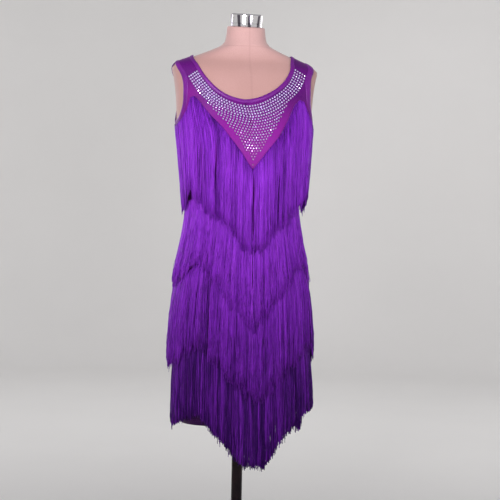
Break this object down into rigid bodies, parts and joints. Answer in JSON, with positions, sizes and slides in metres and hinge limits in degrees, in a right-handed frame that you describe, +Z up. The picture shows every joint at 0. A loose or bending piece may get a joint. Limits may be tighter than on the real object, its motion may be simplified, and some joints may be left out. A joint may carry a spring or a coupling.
{
  "type": "latin dance dress on dress form",
  "caption": "Sleeveless purple latin dance dress with zigzag tiers of long fringe, worn on a limbless dress form with a pole and round base",
  "frame": {"origin": "under the middle of the round base, on the pole's axis", "axes": "+Z up along the pole; the front of the dress faces -Y; +X is the viewer's right, seen from the front"},
  "size_m": [0.4, 0.4, 1.5229],
  "materials": {
    "purple_cloth": "stretch knit, slight satin sheen",
    "purple_binding": "folded binding, slight sheen",
    "purple_fringe": "rayon chainette fringe, silky",
    "form_cloth": "matt jersey cover on the form",
    "chrome": "polished",
    "dark_metal": "semi-gloss, very dark brown",
    "rhinestone": "faceted, foiled back"
  },
  "bodies": {
    "root": {"front_panel": "purple_cloth", "back_panel": "purple_cloth", "neck_binding": "purple_binding", "armhole_binding_left": "purple_binding", "armhole_binding_right": "purple_binding", "fringe_tier_1": "purple_fringe", "fringe_tier_2": "purple_fringe", "fringe_tier_3": "purple_fringe", "fringe_tier_4": "purple_fringe", "form_torso": "form_cloth", "neck_cap": "chrome", "pole_flange": "dark_metal", "pole": "dark_metal", "stand_base": "dark_metal"}
  },
  "joints": []
}
